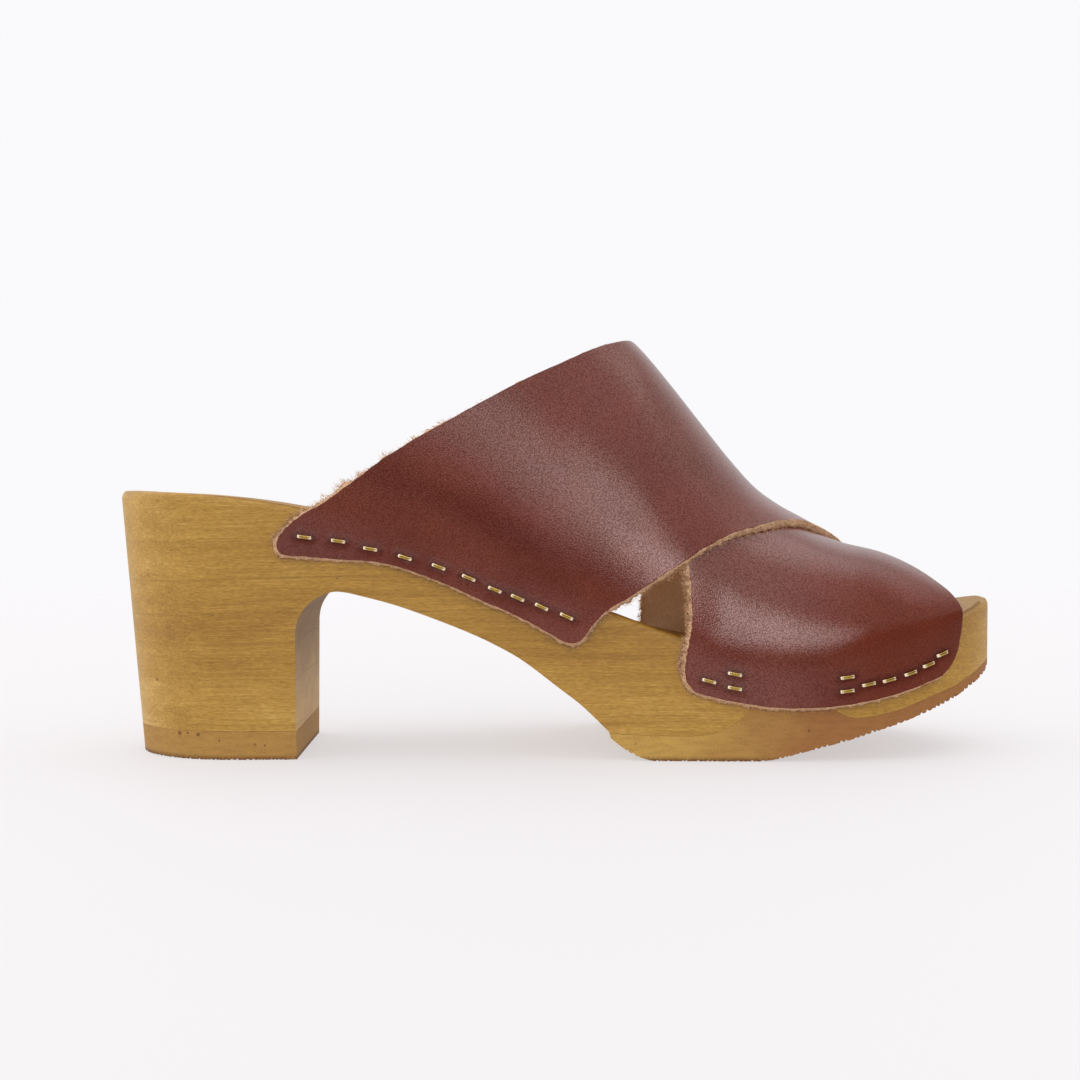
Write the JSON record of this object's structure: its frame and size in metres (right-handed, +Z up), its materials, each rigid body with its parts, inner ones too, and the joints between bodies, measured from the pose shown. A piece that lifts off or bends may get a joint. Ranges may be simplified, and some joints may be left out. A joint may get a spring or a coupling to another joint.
{
  "type": "crossed-strap clog mule",
  "caption": "Open-heeled clog mule with a carved wooden high-heeled sole, rubber treads and wide crossed leather straps stapled to its sides.",
  "frame": {"origin": "on the floor under the middle of the shoe's outline", "axes": "+X to the toe, +Y to the little-toe side (wearer's left), +Z up"},
  "size_m": [0.2588, 0.0956, 0.1203],
  "materials": {
    "stained_wood": "honey-stained and sealed close-grained wood, satin",
    "tan_rubber": "tan crepe-like rubber with sawn edges, matt",
    "oxblood_leather": "oiled reddish-brown full-grain leather, raw tan cut edges, suede inside",
    "brass": "bright brass-coloured wire"
  },
  "bodies": {
    "root": {"wood_sole": "stained_wood", "heel_top_lift": "tan_rubber", "forefoot_outsole": "tan_rubber", "upper": "oxblood_leather", "staple_inner_rear_01": "brass", "staple_inner_rear_02": "brass", "staple_inner_rear_03": "brass", "staple_inner_rear_04": "brass", "staple_inner_rear_05": "brass", "staple_inner_rear_06": "brass", "staple_inner_rear_07": "brass", "staple_inner_rear_08": "brass", "staple_inner_rear_09": "brass", "staple_inner_rear_10": "brass", "staple_inner_front_01": "brass", "staple_inner_front_02": "brass", "staple_inner_front_03": "brass", "staple_inner_front_04": "brass", "staple_inner_front_05": "brass", "staple_inner_front_06": "brass", "staple_inner_front_07": "brass", "staple_inner_front_08": "brass", "staple_inner_front_09": "brass", "staple_inner_front_10": "brass", "staple_outer_rear_01": "brass", "staple_outer_rear_02": "brass", "staple_outer_rear_03": "brass", "staple_outer_rear_04": "brass", "staple_outer_rear_05": "brass", "staple_outer_rear_06": "brass", "staple_outer_rear_07": "brass", "staple_outer_rear_08": "brass", "staple_outer_rear_09": "brass", "staple_outer_rear_10": "brass", "staple_outer_front_01": "brass", "staple_outer_front_02": "brass", "staple_outer_front_03": "brass", "staple_outer_front_04": "brass", "staple_outer_front_05": "brass", "staple_outer_front_06": "brass", "staple_outer_front_07": "brass", "staple_outer_front_08": "brass", "staple_outer_front_09": "brass", "staple_outer_front_10": "brass"}
  },
  "joints": []
}
